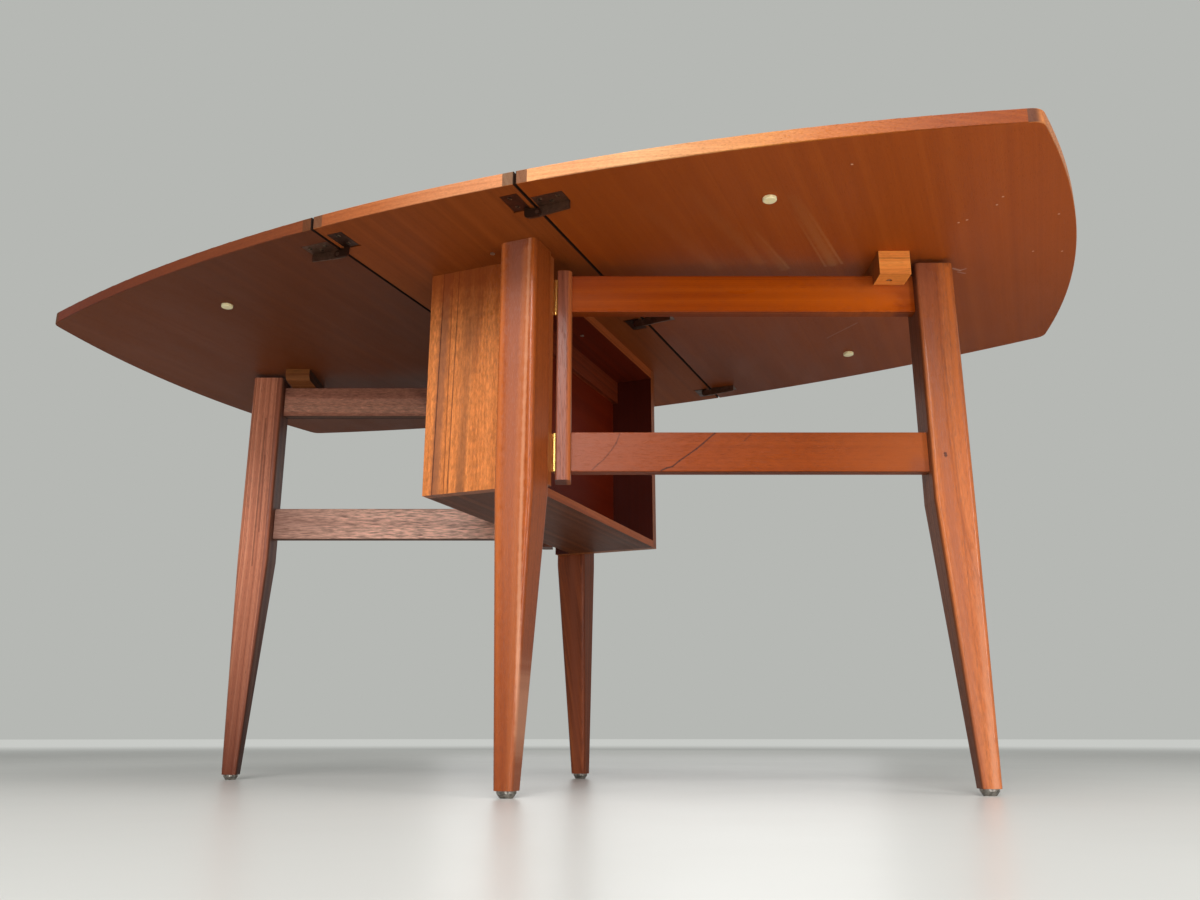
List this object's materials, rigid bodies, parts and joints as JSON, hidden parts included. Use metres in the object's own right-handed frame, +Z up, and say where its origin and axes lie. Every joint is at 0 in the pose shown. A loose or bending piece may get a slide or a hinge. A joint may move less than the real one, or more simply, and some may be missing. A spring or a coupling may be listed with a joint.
{
  "type": "drop-leaf gate-leg dining table",
  "caption": "Bow-sided dining table with a hinged leaf at each end, held up by swing-out gate legs, and a narrow open-sided storage box between the fixed legs.",
  "frame": {"origin": "floor level under the middle of the top", "axes": "+X along the table's length towards the right leaf, +Y across the seams away from the front leg, +Z up"},
  "size_m": [1.569, 0.893, 0.734],
  "materials": {
    "top_veneer": "satin red-brown hardwood veneer",
    "lipping": "satin solid hardwood edging",
    "box_veneer": "satin striped hardwood veneer",
    "box_inside": "satin hardwood veneer",
    "leg_wood": "satin oiled hardwood",
    "rail_wood": "satin oiled hardwood",
    "block_wood": "satin light hardwood",
    "bronze": "dark bronzed plate",
    "brass": "bright polished",
    "nickel": "dull plated",
    "screw_steel": "plated",
    "cream_plastic": "smooth"
  },
  "bodies": {
    "frame": {"centre_board": "top_veneer", "centre_seam_lipping_right": "lipping", "centre_seam_lipping_left": "lipping", "centre_side_lipping_front": "lipping", "centre_side_lipping_back": "lipping", "box_front_panel": "box_veneer", "box_back_panel": "box_veneer", "box_top_panel": "box_inside", "box_bottom_panel": "box_inside", "box_divider": "box_inside", "right_divider_batten": "box_inside", "left_divider_batten": "box_inside", "front_leg": "leg_wood", "rear_leg": "leg_wood", "front_leg_glide": "nickel", "rear_leg_glide": "nickel", "right_flap_plates": "bronze", "left_flap_plates": "bronze", "flap_pins": "bronze", "flap_plate_screws": "bronze", "panel_screws": "screw_steel", "right_butt_fixed_leaves": "brass", "left_butt_fixed_leaves": "brass", "butt_pins": "brass", "butt_fixed_screws": "brass"},
    "right_leaf": {"right_leaf_board": "top_veneer", "right_leaf_seam_lipping": "lipping", "right_leaf_end_lipping": "lipping", "right_leaf_side_lipping_front": "lipping", "right_leaf_side_lipping_back": "lipping", "right_flap_arms": "bronze", "right_flap_arm_screws": "bronze", "right_support_block": "block_wood", "right_block_screw": "screw_steel", "right_bumpers": "cream_plastic"},
    "left_leaf": {"left_leaf_board": "top_veneer", "left_leaf_seam_lipping": "lipping", "left_leaf_end_lipping": "lipping", "left_leaf_side_lipping_front": "lipping", "left_leaf_side_lipping_back": "lipping", "left_flap_arms": "bronze", "left_flap_arm_screws": "bronze", "left_support_block": "block_wood", "left_block_screw": "screw_steel", "left_bumpers": "cream_plastic"},
    "right_gate": {"right_gate_stile": "rail_wood", "right_gate_upper_rail": "rail_wood", "right_gate_lower_rail": "rail_wood", "right_gate_leg": "leg_wood", "right_gate_glide": "nickel", "right_butt_swing_leaves": "brass", "right_butt_swing_screws": "brass"},
    "left_gate": {"left_gate_stile": "rail_wood", "left_gate_upper_rail": "rail_wood", "left_gate_lower_rail": "rail_wood", "left_gate_leg": "leg_wood", "left_gate_glide": "nickel", "left_butt_swing_leaves": "brass", "left_butt_swing_screws": "brass"}
  },
  "joints": [
    {"name": "right_gate_swing", "type": "hinge", "parent": "frame", "child": "right_gate", "pos_m": [0.112, -0.239, 0.5], "axis": [0, 0, 1], "range_deg": [0, 67.4]},
    {"name": "left_gate_swing", "type": "hinge", "parent": "frame", "child": "left_gate", "pos_m": [-0.112, 0.239, 0.5], "axis": [0, 0, 1], "range_deg": [0, 67.4]},
    {"name": "right_leaf_lift", "type": "hinge", "parent": "frame", "child": "right_leaf", "pos_m": [0.152, 0, 0.708], "axis": [0, -1, 0], "range_deg": [0, 5]},
    {"name": "left_leaf_lift", "type": "hinge", "parent": "frame", "child": "left_leaf", "pos_m": [-0.152, 0, 0.708], "axis": [0, 1, 0], "range_deg": [0, 5]}
  ]
}
